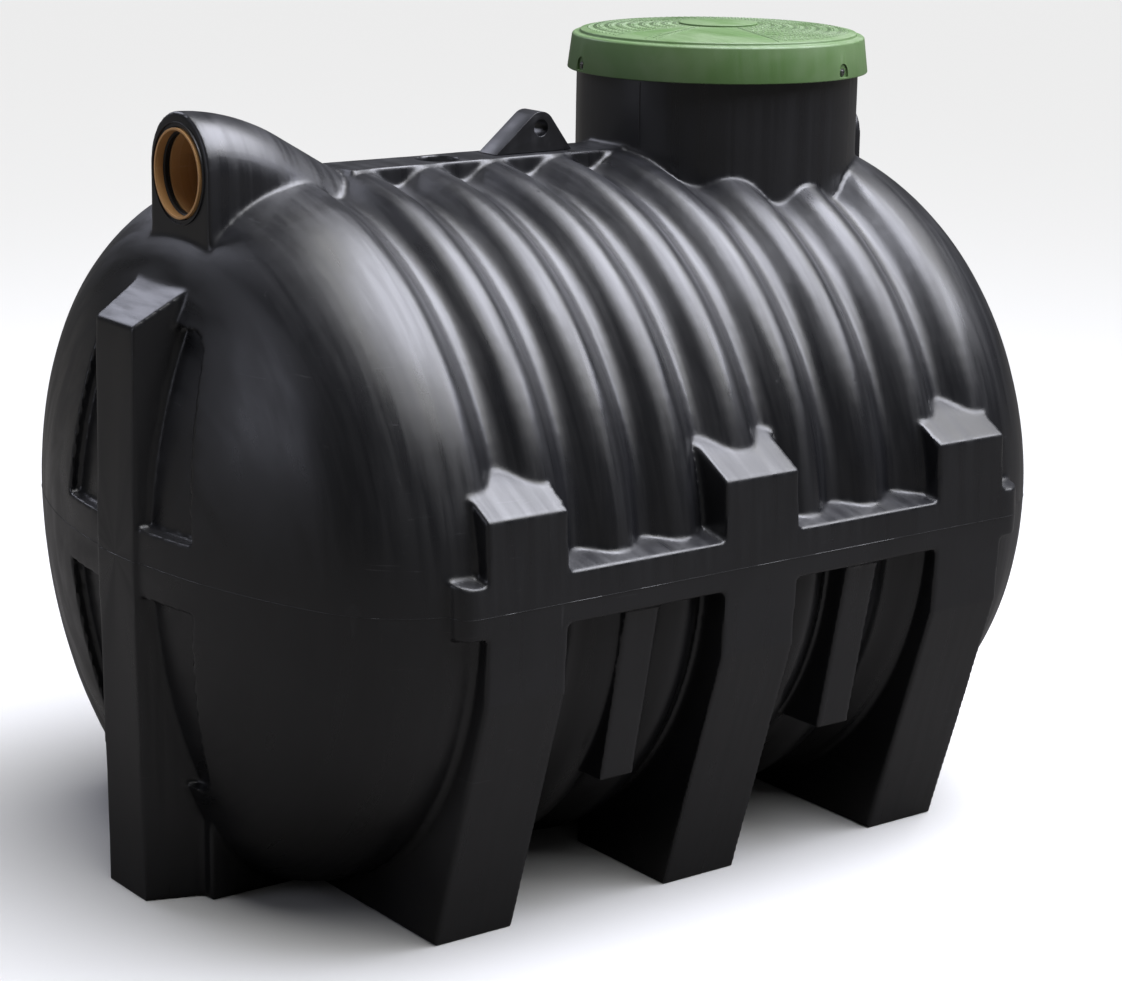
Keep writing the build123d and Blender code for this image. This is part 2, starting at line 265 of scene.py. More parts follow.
def soften(bm: BMesh, edges: list[BMEdge], radius: float) -> None:
    """Rounds edges of a bmesh.

    Args:
        bm: The bmesh.
        edges: The edges.
        radius: The radius that they get.
    """
    bmesh.ops.bevel(
        bm, geom=edges, offset=radius, segments=3, profile=0.5, affect="EDGES", clamp_overlap=True,
        material=-1,
    )


@dataclass(frozen=True)
class PipeEnd:
    """One pipe connection, measured from its CAD socket.

    Attributes:
        name: "inlet" or "outlet".
        wall: The socket's wall in metres.
        proud: How far the socket stands out of the hood's face.
    """

    name: str
    wall: float = 0.0095
    proud: float = 0.004

    @property
    def axis(self) -> Vector:
        """The direction from the face into the tank."""
        return Vector((1, 0, 0)) if self.name == "inlet" else Vector((-1, 0, 0))

    @property
    def centre(self) -> Vector:
        """Finds the middle of the hood's face.

        Returns:
            The point in metres.
        """
        low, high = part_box(f"{self.name}_socket")
        face = low.x + self.proud if self.name == "inlet" else high.x - self.proud
        return Vector((face, 0, (low.z + high.z) / 2))

    @property
    def radius(self) -> float:
        """The socket's outer radius."""
        low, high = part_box(f"{self.name}_socket")
        return (high.z - low.z) / 2

    @property
    def length(self) -> float:
        """The socket's length behind the hood's face."""
        low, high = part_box(f"{self.name}_socket")
        return high.x - low.x - self.proud


INLET = PipeEnd("inlet")
OUTLET = PipeEnd("outlet")


class Tree:
    """A short way to add and join nodes in one node tree."""

    def __init__(self, tree: NodeTree) -> None:
        """Keeps the tree that nodes are added to."""
        self.tree = tree

    def add(self, kind: str, **settings: object) -> Node:
        """Adds a node.

        Args:
            kind: Blender's name for the node.
            **settings: Properties of the node, such as its operation.

        Returns:
            The node.
        """
        node = self.tree.nodes.new(kind)
        for name, value in settings.items():
            setattr(node, name, value)
        return node

    def join(self, source: NodeSocket, target: NodeSocket) -> None:
        """Links an output to an input."""
        self.tree.links.new(source, target)

    def feed(self, target: NodeSocket, value: object) -> None:
        """Sets an input to a value, or links an output to it.

        Args:
            target: The input.
            value: A number, a vector, a colour or an output socket.
        """
        if isinstance(value, NodeSocket):
            self.join(value, target)
        else:
            target.default_value = value

    def math(self, operation: str, first: object, second: object = 0.0, clamp: bool = False) -> NodeSocket:
        """Adds a maths node.

        Args:
            operation: Its operation.
            first: Its first number or output.
            second: Its second number or output.
            clamp: Whether the result is kept between 0 and 1.

        Returns:
            Its output.
        """
        node = self.add("ShaderNodeMath", operation=operation, use_clamp=clamp)
        self.feed(node.inputs[0], first)
        self.feed(node.inputs[1], second)
        return node.outputs[0]

    def span(
        self, value: NodeSocket, low: float, high: float, to_low: float = 0.0, to_high: float = 1.0
    ) -> NodeSocket:
        """Maps a range of values smoothly to another, clamped.

        Args:
            value: The value.
            low: The value that gives to_low.
            high: The value that gives to_high.
            to_low: The result at low.
            to_high: The result at high.

        Returns:
            The mapped output.
        """
        node = self.add("ShaderNodeMapRange", interpolation_type="SMOOTHSTEP")
        self.join(value, node.inputs["Value"])
        for name, number in (("From Min", low), ("From Max", high), ("To Min", to_low), ("To Max", to_high)):
            node.inputs[name].default_value = number
        return node.outputs["Result"]

    def noise(
        self, vector: NodeSocket, scale: float, detail: float = 4.0, distortion: float = 0.0
    ) -> NodeSocket:
        """Adds a noise pattern.

        Args:
            vector: Its coordinates.
            scale: Its scale.
            detail: Its octaves.
            distortion: How far it is swirled.

        Returns:
            Its value, about 0.5 in the middle.
        """
        node = self.add("ShaderNodeTexNoise")
        self.join(vector, node.inputs["Vector"])
        node.inputs["Scale"].default_value = scale
        node.inputs["Detail"].default_value = detail
        node.inputs["Distortion"].default_value = distortion
        return node.outputs["Fac"]

    def blend(self, factor: object, first: object, second: object) -> NodeSocket:
        """Mixes two colours.

        Args:
            factor: How much of the second colour shows.
            first: The first colour or output.
            second: The second colour or output.

        Returns:
            The mixed colour.
        """
        node = self.add("ShaderNodeMix", data_type="RGBA")
        self.feed(node.inputs[0], factor)
        self.feed(node.inputs[6], first)
        self.feed(node.inputs[7], second)
        return node.outputs[2]

    def stretched(self, vector: NodeSocket, scale: tuple[float, float, float]) -> NodeSocket:
        """Scales coordinates by a different amount each way.

        Args:
            vector: The coordinates.
            scale: The three amounts.

        Returns:
            The scaled coordinates.
        """
        node = self.add("ShaderNodeVectorMath", operation="MULTIPLY")
        self.join(vector, node.inputs[0])
        node.inputs[1].default_value = scale
        return node.outputs[0]


def effect(
    name: str, inputs: dict[str, float], outputs: tuple[str, ...]
) -> tuple[NodeTree, Tree, Node, Node]:
    """Starts a shader node group with named inputs and outputs.

    Args:
        name: The group's name.
        inputs: Its number inputs and their defaults; it also gets a Vector input.
        outputs: Its number outputs.

    Returns:
        The group, its tree helper, its input node and its output node.
    """
    group = bpy.data.node_groups.new(name, "ShaderNodeTree")
    group.interface.new_socket("Vector", in_out="INPUT", socket_type="NodeSocketVector")
    for label, value in inputs.items():
        socket = group.interface.new_socket(label, in_out="INPUT", socket_type="NodeSocketFloat")
        socket.default_value = value
    for label in outputs:
        group.interface.new_socket(label, in_out="OUTPUT", socket_type="NodeSocketFloat")
    tree = Tree(group)
    return group, tree, tree.add("NodeGroupInput"), tree.add("NodeGroupOutput")


def end_mask(tree: Tree, entry: Node, leave: Node, pattern: NodeSocket) -> None:
    """Gives a group's Mask output its pattern times its Amount."""
    mask = tree.math("MULTIPLY", pattern, entry.outputs["Amount"], clamp=True)
    tree.join(mask, leave.inputs["Mask"])


class Effects:
    """The node groups that more than one finish uses."""

    def __init__(self) -> None:
        """Builds every group once."""
        self.grain = self.build_grain()
        self.wear = self.build_wear()
        self.dust_and_top_light = self.build_dust_and_top_light()
        self.scuffs = self.build_scuffs()

    def build_grain(self) -> NodeTree:
        """Builds the cloudy patches, streaks round the barrel and fine grain of a moulded skin.

        Returns:
            The group.
        """
        masks = ("Patches", "Streaks", "Grain")
        group, tree, entry, leave = effect("moulded grain", {"Barrel Height": PARTING}, masks)
        vector = entry.outputs["Vector"]
        parts = tree.add("ShaderNodeSeparateXYZ")
        tree.join(vector, parts.inputs[0])
        lifted = tree.math("SUBTRACT", parts.outputs["Z"], entry.outputs["Barrel Height"])
        angle = tree.math("ARCTAN2", lifted, parts.outputs["Y"])
        around = tree.add("ShaderNodeCombineXYZ")
        tree.join(tree.math("MULTIPLY", parts.outputs["X"], 46.0), around.inputs[0])
        tree.join(tree.math("MULTIPLY", angle, 2.2), around.inputs[1])
        streaks = tree.noise(around.outputs[0], 1.0, 6.0, 0.3)
        tree.join(tree.noise(vector, 4.5, 6.0, 0.6), leave.inputs["Patches"])
        tree.join(streaks, leave.inputs["Streaks"])
        tree.join(tree.noise(vector, 620.0, 2.0), leave.inputs["Grain"])
        return group

    def build_wear(self) -> NodeTree:
        """Builds the mask of rubbed edges.

        Returns:
            The group.
        """
        group, tree, entry, leave = effect("edge wear", {"Amount": 1.0}, ("Mask",))
        geometry = tree.add("ShaderNodeNewGeometry")
        edge = tree.span(geometry.outputs["Pointiness"], 0.515, 0.60)
        breaks = tree.span(tree.noise(entry.outputs["Vector"], 14.0, 6.0), 0.35, 0.62, 0.25, 1.0)
        end_mask(tree, entry, leave, tree.math("MULTIPLY", edge, breaks))
        return group

    def build_dust_and_top_light(self) -> NodeTree:
        """Builds the mask of the paler faces that look up: partly settled dust, partly painted top light.

        Returns:
            The group.
        """
        group, tree, entry, leave = effect("settled dust", {"Amount": 1.0}, ("Mask",))
        geometry = tree.add("ShaderNodeNewGeometry")
        parts = tree.add("ShaderNodeSeparateXYZ")
        tree.join(geometry.outputs["Normal"], parts.inputs[0])
        # Paler where the face looks up: partly settled dust, partly painted top light.
        facing = tree.span(parts.outputs["Z"], 0.25, 1.0)
        cloud = tree.span(tree.noise(entry.outputs["Vector"], 7.0, 8.0, 0.8), 0.38, 0.66, 0.25, 1.0)
        end_mask(tree, entry, leave, tree.math("MULTIPLY", facing, cloud))
        return group

    def build_scuffs(self) -> NodeTree:
        """Builds the mask of short pale scuffs and scratches.

        Returns:
            The group.
        """
        group, tree, entry, leave = effect("scuffs", {"Amount": 1.0}, ("Mask",))
        vector = entry.outputs["Vector"]
        level = tree.span(tree.noise(tree.stretched(vector, (5.0, 5.0, 60.0)), 2.2, 5.0, 1.2), 0.66, 0.74)
        upright = tree.span(tree.noise(tree.stretched(vector, (70.0, 70.0, 7.0)), 1.4, 4.0, 0.8), 0.70, 0.77)
        places = tree.span(tree.noise(vector, 2.3, 3.0), 0.50, 0.64)
        either = tree.math("MAXIMUM", level, upright)
        end_mask(tree, entry, leave, tree.math("MULTIPLY", either, places))
        return group


@dataclass(frozen=True)
class Finish:
    """A finish of the tank's plastics, rubber or metal.

    Attributes:
        name: The material's name.
        colour: The clean surface's colour.
        bloom_and_top_light: The colour of cloudy patches and of the paler faces that look up, partly settled
            dust and partly painted top light.
        worn: The colour of rubbed edges and scuffs.
        roughness: The clean surface's roughness.
        uneven: How far the roughness varies.
        metallic: 0 for plastic and rubber, 1 for metal.
        patches: How far cloudy patches show.
        dust_and_top_light: How far faces that look up turn paler, partly settled dust and partly painted top
            light.
        wear: How much of the edges is rubbed.
        scuffs: How many scuffs show.
        relief: The depth of the grain's bumps in metres.
        gloss: The level of the clear reflections, 0.5 for common plastic.
    """

    name: str
    colour: tuple[float, float, float]
    bloom_and_top_light: tuple[float, float, float]
    worn: tuple[float, float, float]
    roughness: float
    uneven: float = 0.10
    metallic: float = 0.0
    patches: float = 0.10
    dust_and_top_light: float = 0.25
    wear: float = 0.5
    scuffs: float = 0.5
    relief: float = 0.0003
    gloss: float = 0.5

    def build(self, effects: Effects) -> Material:
        """Builds the material.

        Args:
            effects: The shared node groups.

        Returns:
            The material.
        """
        material = bpy.data.materials.new(self.name)
        material.use_nodes = True
        material.diffuse_color = (*self.colour, 1)
        tree = Tree(material.node_tree)
        shader = material.node_tree.nodes["Principled BSDF"]
        vector = tree.add("ShaderNodeTexCoord").outputs["Object"]
        grain = self.place(tree, effects.grain, vector)
        wear = self.place(tree, effects.wear, vector, self.wear)
        dust_and_top_light = self.place(tree, effects.dust_and_top_light, vector, self.dust_and_top_light)
        scuffs = self.place(tree, effects.scuffs, vector, self.scuffs)
        cloudy = tree.span(grain.outputs["Patches"], 0.35, 0.7, 0.0, self.patches)
        colour = tree.blend(cloudy, (*self.colour, 1), (*self.bloom_and_top_light, 1))
        # Faces that look up turn paler: partly settled dust, partly painted top light.
        colour = tree.blend(dust_and_top_light.outputs["Mask"], colour, (*self.bloom_and_top_light, 1))
        rubbed = tree.math("MAXIMUM", wear.outputs["Mask"], scuffs.outputs["Mask"])
        colour = tree.blend(rubbed, colour, (*self.worn, 1))
        tree.join(colour, shader.inputs["Base Color"])
        low, high = self.roughness - self.uneven, self.roughness + self.uneven
        satin = tree.span(grain.outputs["Streaks"], 0.3, 0.7, low, high)
        satin = tree.math("ADD", satin, tree.math("MULTIPLY", dust_and_top_light.outputs["Mask"], 0.15))
        satin = tree.math("ADD", satin, tree.math("MULTIPLY", rubbed, 0.2), clamp=True)
        tree.join(satin, shader.inputs["Roughness"])
        shader.inputs["Metallic"].default_value = self.metallic
        shader.inputs["Specular IOR Level"].default_value = self.gloss
        fine = tree.math("MULTIPLY", grain.outputs["Grain"], 0.5)
        bump = tree.add("ShaderNodeBump")
        bump.inputs["Strength"].default_value = 0.35
        bump.inputs["Distance"].default_value = self.relief
        tree.join(tree.math("ADD", fine, grain.outputs["Streaks"]), bump.inputs["Height"])
        tree.join(bump.outputs["Normal"], shader.inputs["Normal"])
        return material

    @staticmethod
    def place(tree: Tree, group: NodeTree, vector: NodeSocket, amount: float | None = None) -> Node:
        """Places a node group in the material.

        Args:
            tree: The material's tree.
            group: The group.
            vector: The coordinates.
            amount: The group's Amount, where it has one.

        Returns:
            The group's node.
        """
        node = tree.add("ShaderNodeGroup")
        node.node_tree = group
        tree.join(vector, node.inputs["Vector"])
        if amount is not None:
            node.inputs["Amount"].default_value = amount
        return node


# On the black, the pale bluish tops are partly settled dust, partly painted top light.
BLACK = Finish(
    "black moulded plastic", (0.0062, 0.0064, 0.0078), (0.060, 0.061, 0.068), (0.11, 0.11, 0.118), 0.34,
    uneven=0.08, patches=0.05, dust_and_top_light=0.24, wear=0.10, scuffs=0.16, relief=0.0005, gloss=0.68,
)
GREEN = Finish(
    "green moulded plastic", (0.080, 0.158, 0.046), (0.21, 0.265, 0.165), (0.34, 0.42, 0.28), 0.46,
    patches=0.35, dust_and_top_light=0.35, wear=0.45, scuffs=0.35, relief=0.0003,
)
TAN = Finish(
    "orange-brown pipe plastic", (0.72, 0.39, 0.150), (0.70, 0.48, 0.27), (0.80, 0.58, 0.36), 0.33,
    patches=0.2, dust_and_top_light=0.1, wear=0.2, scuffs=0.15, relief=0.0001,
)
RUBBER = Finish(
    "black rubber", (0.012, 0.012, 0.012), (0.05, 0.05, 0.05), (0.06, 0.06, 0.06), 0.5,
    patches=0.2, dust_and_top_light=0.1, wear=0.1, scuffs=0.1, relief=0.0002,
)
STEEL = Finish(
    "galvanised screw steel", (0.20, 0.20, 0.195), (0.11, 0.105, 0.10), (0.4, 0.4, 0.4), 0.42,
    metallic=1.0, patches=0.4, dust_and_top_light=0.3, wear=0.2, scuffs=0.2, relief=0.0001,
)


@dataclass
class Moulding:
    """The black tank: one skin with soft corners, hollow, in an upper and a lower half.

    Attributes:
        voxel: The remesh size of the skin.
        quick_voxel: A coarser remesh size; it is not used.
        smoothing: The rounds of smoothing that round the corners.
        waviness: The depth of the moulding's slight waves.
        wave_level: The waves' zero level: above 1 all of them go inward, so the skin stays in the CAD box.
        wave_length: The size of those waves.
        wall: The neck's wall.
        hollow_voxel: The remesh size of the hollow.
        hollow_inset: How far the hollow lies inside the skin.
        neck_bore: The bore of the manhole neck.
        plug_foot: How far over the parting line the plugs of the neck start.
        bore_foot: How far over the parting line the neck's bore starts.
        overshoot: How far the bore's cutter stands out of the neck.
        socket_overshoot: How far a socket's cutter stands out of its hood.
        crown_gap: How far under the shell's top the hollow's neck plug ends.
        face_budget: The most triangles of the outer skin.
        sharp_angle: Edges sharper than this stay hard.
    """

    voxel: float = 0.0055
    quick_voxel: float = 0.009
    smoothing: int = 4
    waviness: float = 0.0016
    wave_level: float = 1.25
    wave_length: float = 0.16
    wall: float = 0.010
    hollow_voxel: float = 0.02
    hollow_inset: float = 0.02
    neck_bore: float = 0.303
    plug_foot: float = 0.3
    bore_foot: float = 0.45
    overshoot: float = 0.1
    socket_overshoot: float = 0.03
    crown_gap: float = 0.03
    face_budget: int = 275000
    sharp_angle: float = 50.0

    def skinned_nodes(self) -> list[str]:
        """The nodes that the skin stands for."""
        return [name for name in nodes_of(Slot.TANK) if name != "lifting_lug"]

    def gathered(self, names: list[str], neck_top: float) -> BMesh:
        """Gathers copies of CAD nodes, with the neck and the pipe sockets plugged.

        Args:
            names: The nodes.
            neck_top: The height of the plug in the neck.

        Returns:
            The bmesh of all their faces.
        """
        bm = bmesh.new()
        for name in names:
            bm.from_mesh(frame["nodes"][name].data)
        foot = neck_foot()
        plug_radius = self.neck_bore + self.wall * 0.8
        plug_foot = foot + Vector((0, 0, PARTING + self.plug_foot))
        round_bar(bm, plug_radius, plug_foot, foot + Vector((0, 0, neck_top)))
        for pipe in (INLET, OUTLET):
            inner = pipe.centre + pipe.axis * (pipe.length * 0.7)
            round_bar(bm, pipe.radius + SOCKET_ROOM, pipe.centre, inner)
        return bm

    def outer_skin(self) -> Object:
        """Makes the closed outer skin with soft corners.

        Returns:
            The skin.
        """
        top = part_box("manhole_neck")[1].z
        skin = mesh_object(self.gathered(self.skinned_nodes(), top), "outer_skin")
        voxel = self.voxel
        waves = bpy.data.textures.new("moulding waves", "CLOUDS")
        waves.noise_scale = self.wave_length
        depth = {"strength": self.waviness, "mid_level": self.wave_level}
        modify(skin, "skin", "REMESH", mode="VOXEL", voxel_size=voxel)
        modify(skin, "soft corners", "SMOOTH", iterations=self.smoothing)
        modify(skin, "waves", "DISPLACE", texture=waves, texture_coords="LOCAL", **depth)
        bake_modifiers(skin)
        share = self.face_budget / (2 * len(skin.data.polygons))
        modify(skin, "fewer faces", "DECIMATE", ratio=min(1.0, share))
        bake_modifiers(skin)
        return skin

    def hollow(self) -> Object:
        """Makes the tank's closed hollow: the shell's outside moved in.

        Returns:
            The hollow.
        """
        names = [name for name in nodes_of(Slot.TANK) if "barrel" in name or "dome" in name or "hood" in name]
        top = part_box("barrel_upper")[1].z - self.crown_gap
        cavity = mesh_object(self.gathered(names, top), "hollow")
        modify(cavity, "skin", "REMESH", mode="VOXEL", voxel_size=self.hollow_voxel)
        modify(cavity, "wall", "DISPLACE", strength=-self.hollow_inset, mid_level=0)
        bake_modifiers(cavity)
        return cavity

    def bores(self) -> Object:
        """Makes the cutter of the neck's bore and the two socket holes.

        Returns:
            The cutter.
        """
        bm = bmesh.new()
        foot = neck_foot()
        low = PARTING + self.bore_foot
        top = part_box("manhole_neck")[1].z + self.overshoot
        round_bar(bm, self.neck_bore, foot + Vector((0, 0, low)), foot + Vector((0, 0, top)), 160)
        for pipe in (INLET, OUTLET):
            outer = pipe.centre - pipe.axis * self.socket_overshoot
            inner = pipe.centre + pipe.axis * (pipe.length * 0.5)
            round_bar(bm, pipe.radius + SOCKET_ROOM, outer, inner)
        return mesh_object(bm, "bores")

    def half_space(self, half: Half) -> Object:
        """Makes the block that keeps one half of the moulding.

        Args:
            half: The half to keep.

        Returns:
            The block.
        """
        bm = bmesh.new()
        reach = 2.0
        low, high = (PARTING, reach) if half is Half.UPPER else (-reach, PARTING)
        block(bm, Vector((-reach, -reach, low)), Vector((reach, reach, high)))
        return mesh_object(bm, "half_space")

    def build(self, material: Material) -> None:
        """Builds both halves and the bead between them.

        Args:
            material: The black plastic.
        """
        skin = self.outer_skin()
        cavity = self.hollow()
        bores = self.bores()
        for half in Half:
            piece = bpy.data.objects.new(f"moulding_{half.name.lower()}", skin.data.copy())
            bpy.context.scene.collection.objects.link(piece)
            keep = self.half_space(half)
            carve(piece, ((cavity, "DIFFERENCE"), (bores, "DIFFERENCE"), (keep, "INTERSECT")))
            discard(keep)
            above = half is Half.UPPER
            replaced = [name for name in self.skinned_nodes() if (middle(name).z > PARTING) == above]
            finish_piece(piece, self.sharp_angle, Body.TANK, material, tuple(replaced))
        PartingLine().build(skin, material)
        for helper in (skin, cavity, bores):
            discard(helper)


@dataclass
class PartingLine:
    """The thin bead of flash where the two halves of the mould met.

    Attributes:
        radius: The bead's radius in metres.
        merge: Points of the line closer than this become one.
    """

    radius: float = 0.0009
    merge: float = 0.0015

    def build(self, skin: Object, material: Material) -> None:
        """Builds the bead round a skin.

        Args:
            skin: The moulding's outer skin.
            material: The black plastic.
        """
        bm = bmesh.new()
        bm.from_mesh(skin.data)
        everything = bm.verts[:] + bm.edges[:] + bm.faces[:]
        cut = {"plane_co": (0, 0, PARTING), "plane_no": (0, 0, 1), "clear_outer": True, "clear_inner": True}
        bmesh.ops.bisect_plane(bm, geom=everything, dist=1e-6, **cut)
        bmesh.ops.remove_doubles(bm, verts=bm.verts, dist=self.merge)
        bead = mesh_object(bm, "parting_bead")
        chosen = {"selected_objects": [bead], "selected_editable_objects": [bead]}
        with bpy.context.temp_override(active_object=bead, object=bead, **chosen):
            bpy.ops.object.convert(target="CURVE")
            bead.data.bevel_depth = self.radius
            bead.data.bevel_resolution = 1
            bpy.ops.object.convert(target="MESH")
        finish_piece(bead, 60, Body.TANK, material)


@dataclass
class PipeSocket:
    """A pipe socket with rounded lips and a ribbed rubber seal in its groove.

    Attributes:
        pipe: The connection that it belongs to.
        lip: The thickness of its mouth.
        mouth: The length of its wide mouth.
        seal_width: The width of its seal.
        groove: How far the groove is deeper than the bore.
        lip_gap: How far the seal stays off the pipe.
        lip_rise: How far the seal's lips stand over its hollows.
        softness: The radius of its edges.
    """

    pipe: PipeEnd
    lip: float = 0.0050
    mouth: float = 0.014
    seal_width: float = 0.014
    groove: float = 0.0055
    lip_gap: float = 0.001
    lip_rise: float = 0.0025
    softness: float = 0.0014

    def ring(self, outline: list[tuple[float, float]], name: str) -> Object:
        """Spins one ring and softens its edges.

        Args:
            outline: Points of distance behind the face and radius.
            name: The piece's name.

        Returns:
            The ring.
        """
        bm = turned(outline, self.pipe.centre, self.pipe.axis, 128)
        soften(bm, sharp_edges(bm, 40), self.softness)
        return mesh_object(bm, name)

    def build(self, plastic: Material, rubber: Material) -> None:
        """Builds the socket and its seal.

        Args:
            plastic: The pipe plastic.
            rubber: The seal's rubber.
        """
        pipe = self.pipe
        bore = pipe.radius - pipe.wall
        groove_end = self.mouth + self.seal_width
        socket = [
            (-pipe.proud, pipe.radius),
            (-pipe.proud, pipe.radius - self.lip),
            (self.mouth, pipe.radius - self.lip),
            (self.mouth, bore + self.groove),
            (groove_end, bore + self.groove),
            (groove_end, bore),
            (pipe.length, bore),
            (pipe.length, pipe.radius),
        ]
        ring = self.ring(socket, f"{pipe.name}_pipe_socket")
        finish_piece(ring, 40, Body.TANK, plastic, (f"{pipe.name}_socket",))
        top = bore + self.lip_gap
        hollow = top + self.lip_rise
        step = self.seal_width / 6
        seal = [(self.mouth, bore + self.groove), (self.mouth, hollow), (self.mouth + step, top)]
        seal += [(self.mouth + 2.5 * step, top), (self.mouth + 3 * step, hollow)]
        seal += [(self.mouth + 3.5 * step, top)]
        seal += [(groove_end - step, top), (groove_end, hollow), (groove_end, bore + self.groove)]
        lips = mesh_object(turned(seal, pipe.centre, pipe.axis, 128), f"{pipe.name}_pipe_seal")
        finish_piece(lips, 35, Body.TANK, rubber, (f"{pipe.name}_seal",))


@dataclass(frozen=True)
class SmallMarks:
    """The raised lip round the inlet and the mould line down the neck.

    Attributes:
        lip_radius: The lip's middle radius.
        lip_half: Half the lip's width.
        lip_rise: How far the lip stands out of the hood's face.
        line_radius: The radius of the mould line's bead.
        line_angle: Where the line runs down the neck, in degrees from +X.
        line_foot: The height of its buried lower end.
        line_top: The height of its upper end, below the lid's skirt.
        line_sunk: How far the line's middle lies inside the neck's CAD surface.
        sunk: How far the lip reaches into the skin.
    """

    lip_radius: float = 0.1005
    lip_half: float = 0.0016
    lip_rise: float = 0.0018
    line_radius: float = 0.0011
    line_angle: float = 198.6
    line_foot: float = 1.40
    line_top: float = 1.60
    line_sunk: float = 0.001
    sunk: float = 0.003

    def build(self, material: Material) -> None:
        """Builds both marks.

        Args:
            material: The black plastic.
        """
        outline = [
            (-self.lip_rise, self.lip_radius - self.lip_half / 2),
            (-self.lip_rise, self.lip_radius + self.lip_half / 2),
            (self.sunk, self.lip_radius + self.lip_half),
            (self.sunk, self.lip_radius - self.lip_half),
        ]
        lip = mesh_object(turned(outline, INLET.centre, INLET.axis, 128), "inlet_face_lip")
        finish_piece(lip, 60, Body.TANK, material)
        low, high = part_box("manhole_neck")
        turn = math.radians(self.line_angle)
        out = Vector((math.cos(turn), math.sin(turn), 0)) * ((high.x - low.x) / 2 - self.line_sunk)
        foot = neck_foot() + out
        bm = bmesh.new()
        start, end = (foot + Vector((0, 0, level)) for level in (self.line_foot, self.line_top))
        round_bar(bm, self.line_radius, start, end, 10)
        line = mesh_object(bm, "neck_mould_line")
        finish_piece(line, 50, Body.TANK, material)


@dataclass
class LiftingLug:
    """The lug on the crown, with soft edges.

    Attributes:
        softness: The radius of its edges.
    """

    softness: float = 0.004

    def build(self, material: Material) -> None:
        """Builds the lug from a merged copy of its solid.

        Args:
            material: The black plastic.
        """
        bm = bmesh.new()
        bm.from_mesh(frame["nodes"]["lifting_lug"].data)
        bmesh.ops.remove_doubles(bm, verts=bm.verts, dist=1e-5)
        bmesh.ops.dissolve_limit(bm, angle_limit=math.radians(1), verts=bm.verts, edges=bm.edges)
        soften(bm, sharp_edges(bm, 50), self.softness)
        lug = mesh_object(bm, "crown_lug")
        finish_piece(lug, 30, Body.TANK, material, ("lifting_lug",))


